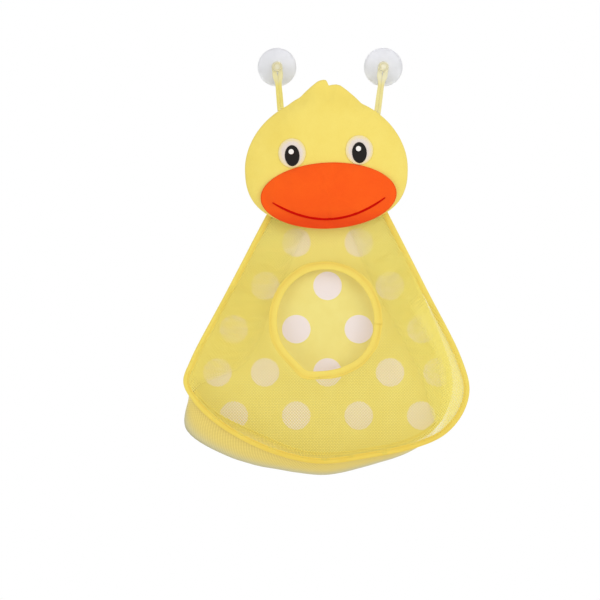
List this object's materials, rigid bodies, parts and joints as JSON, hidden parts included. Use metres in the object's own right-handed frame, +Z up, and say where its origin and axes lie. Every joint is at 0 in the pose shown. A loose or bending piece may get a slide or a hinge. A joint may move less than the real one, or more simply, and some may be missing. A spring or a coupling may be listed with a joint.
{
  "type": "bath toy organizer",
  "caption": "Hanging mesh bag for bath toys with a padded duck head, a round hand opening and suction cups for the wall.",
  "frame": {"origin": "on the wall, midway between the centres of the two suction cups", "axes": "+X to the right as seen from the room, +Y into the wall, +Z up; the object hangs at negative Y"},
  "size_m": [0.362, 0.0572, 0.5413],
  "materials": {
    "clear_pvc": "clear, slightly hazy, smooth",
    "ribbon": "woven ribbon",
    "head_cloth": "soft short-pile cloth",
    "wadding": "loose fibre filling",
    "white_cloth": "close cloth",
    "black_cloth": "close cloth",
    "beak_cloth": "soft short-pile cloth",
    "mouth_thread": "satin stitch",
    "printed_cloth": "close cloth with white dots",
    "mesh": "open knitted mesh",
    "tape": "folded binding tape"
  },
  "bodies": {
    "bag": {"back_panel": "printed_cloth", "back_binding": "tape", "gusset": "mesh", "head_front_cover": "head_cloth", "head_back_cover": "head_cloth", "head_filling": "wadding", "left_eye_white": "white_cloth", "left_pupil": "black_cloth", "left_glint": "white_cloth", "right_eye_white": "white_cloth", "right_pupil": "black_cloth", "right_glint": "white_cloth", "beak_front_cover": "beak_cloth", "beak_back_cover": "beak_cloth", "beak_filling": "wadding", "mouth_stitch": "mouth_thread"},
    "front": {"front_mesh_panel": "mesh", "front_binding": "tape", "opening_binding": "tape"},
    "left_strap": {"left_strap": "ribbon"},
    "right_strap": {"right_strap": "ribbon"},
    "left_cup": {"left_cup": "clear_pvc"},
    "right_cup": {"right_cup": "clear_pvc"}
  },
  "joints": [
    {"name": "front_panel_fold", "type": "hinge", "parent": "bag", "child": "front", "pos_m": [0, -0.0172, -0.19], "axis": [1, 0, 0], "range_deg": [-8, 4], "stiffness_Nm_per_rad": 0.8, "deforming": ["gusset"]},
    {"name": "left_strap_bend", "type": "hinge", "parent": "bag", "child": "left_strap", "pos_m": [-0.06288, -0.024, -0.05337], "axis": [0.8449, 0, 0.535], "range_deg": [-90, 90], "stiffness_Nm_per_rad": 0.3},
    {"name": "right_strap_bend", "type": "hinge", "parent": "bag", "child": "right_strap", "pos_m": [0.05974, -0.024, -0.0577], "axis": [0.8024, 0, -0.5967], "range_deg": [-90, 90], "stiffness_Nm_per_rad": 0.3},
    {"name": "left_cup_spin", "type": "hinge", "parent": "left_strap", "child": "left_cup", "pos_m": [-0.0674, 0, 0], "axis": [0, 1, 0], "continuous": true},
    {"name": "right_cup_spin", "type": "hinge", "parent": "right_strap", "child": "right_cup", "pos_m": [0.0674, 0, 0], "axis": [0, 1, 0], "continuous": true}
  ]
}
